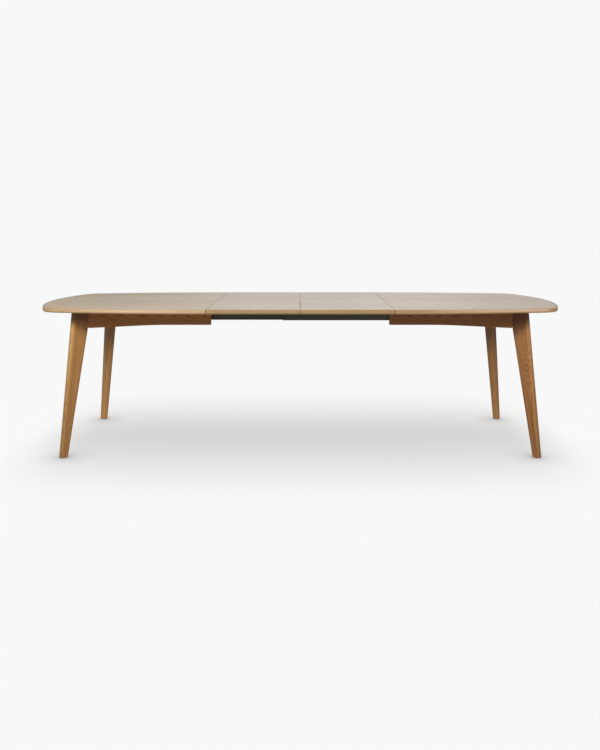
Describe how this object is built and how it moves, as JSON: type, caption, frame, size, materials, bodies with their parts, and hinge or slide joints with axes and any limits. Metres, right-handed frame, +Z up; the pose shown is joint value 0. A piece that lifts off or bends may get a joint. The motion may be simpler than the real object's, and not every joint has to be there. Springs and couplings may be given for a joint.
{
  "type": "extending dining table",
  "caption": "Oak dining table with bowed boat-shaped top on splayed diagonal plank legs, pulled apart on ball slides, with loose insert leaves between its halves.",
  "frame": {"origin": "on the floor, under the middle of the open table", "axes": "+X along the length towards the half that slides, +Y to the back, +Z up"},
  "size_m": [2.6798, 1, 0.75],
  "materials": {
    "oak_top": "satin lacquered oak",
    "oak_edge": "satin lacquered oak",
    "oak_leg": "satin lacquered oak",
    "oak_apron": "satin lacquered oak",
    "beech": "plain sanded beech",
    "black_rail": "black anodised extrusion",
    "black_plastic": "moulded black plastic",
    "glide_plastic": "dark grey moulded plastic",
    "zinc_steel": "zinc plated steel",
    "ball_steel": "polished steel"
  },
  "bodies": {
    "left_half": {"left_top_panel": "oak_top", "left_top_lipping": "oak_edge", "left_end_apron": "oak_apron", "front_left_leg": "oak_leg", "front_left_apron": "oak_apron", "front_left_corner_block": "beech", "front_inner_rail": "black_rail", "back_left_leg": "oak_leg", "back_left_apron": "oak_apron", "back_left_corner_block": "beech", "back_inner_rail": "black_rail", "left_hanger_bolts": "zinc_steel", "left_bolt_washers": "zinc_steel", "left_bolt_nuts": "zinc_steel", "left_floor_glides": "glide_plastic", "left_seam_bearer": "beech", "left_rear_bearer": "beech", "left_bearer_screws": "zinc_steel", "left_rail_caps": "black_plastic", "left_rail_screws": "zinc_steel", "left_rail_brackets": "zinc_steel"},
    "right_half": {"right_top_panel": "oak_top", "right_top_lipping": "oak_edge", "right_end_apron": "oak_apron", "front_right_leg": "oak_leg", "front_right_apron": "oak_apron", "front_right_corner_block": "beech", "front_outer_rail": "black_rail", "back_right_leg": "oak_leg", "back_right_apron": "oak_apron", "back_right_corner_block": "beech", "back_outer_rail": "black_rail", "right_hanger_bolts": "zinc_steel", "right_bolt_washers": "zinc_steel", "right_bolt_nuts": "zinc_steel", "right_floor_glides": "glide_plastic", "right_seam_bearer": "beech", "right_rear_bearer": "beech", "right_bearer_screws": "zinc_steel", "right_rail_caps": "black_plastic", "right_rail_screws": "zinc_steel"},
    "front_cage": {"front_ball_cage": "black_plastic", "front_slide_balls": "ball_steel"},
    "back_cage": {"back_ball_cage": "black_plastic", "back_slide_balls": "ball_steel"},
    "leaf_left": {"leaf_left_panel": "oak_top", "leaf_left_front_lipping": "oak_edge", "leaf_left_back_lipping": "oak_edge", "leaf_left_inner_batten": "beech", "leaf_left_outer_batten": "beech", "leaf_left_batten_screws": "zinc_steel", "leaf_left_guide_blocks": "beech"},
    "leaf_right": {"leaf_right_panel": "oak_top", "leaf_right_front_lipping": "oak_edge", "leaf_right_back_lipping": "oak_edge", "leaf_right_inner_batten": "beech", "leaf_right_outer_batten": "beech", "leaf_right_batten_screws": "zinc_steel", "leaf_right_guide_blocks": "beech"}
  },
  "joints": [
    {"name": "extension", "type": "slide", "parent": "left_half", "child": "right_half", "axis": [1, 0, 0], "range_m": [-0.9, 0]},
    {"name": "front_cage_travel", "type": "slide", "parent": "left_half", "child": "front_cage", "axis": [1, 0, 0], "range_m": [-0.45, 0]},
    {"name": "back_cage_travel", "type": "slide", "parent": "left_half", "child": "back_cage", "axis": [1, 0, 0], "range_m": [-0.45, 0]},
    {"name": "left_leaf_lift", "type": "slide", "parent": "left_half", "child": "leaf_left", "axis": [0, 0, 1], "range_m": [0, 0.45]},
    {"name": "right_leaf_lift", "type": "slide", "parent": "left_half", "child": "leaf_right", "axis": [0, 0, 1], "range_m": [0, 0.45]}
  ],
  "couplings": [
    {"joint": "front_cage_travel", "follows": "extension", "ratio": 0.5},
    {"joint": "back_cage_travel", "follows": "extension", "ratio": 0.5},
    {"joint": "left_leaf_lift", "follows": "extension", "ratio": -0.5},
    {"joint": "right_leaf_lift", "follows": "extension", "ratio": -0.5}
  ]
}
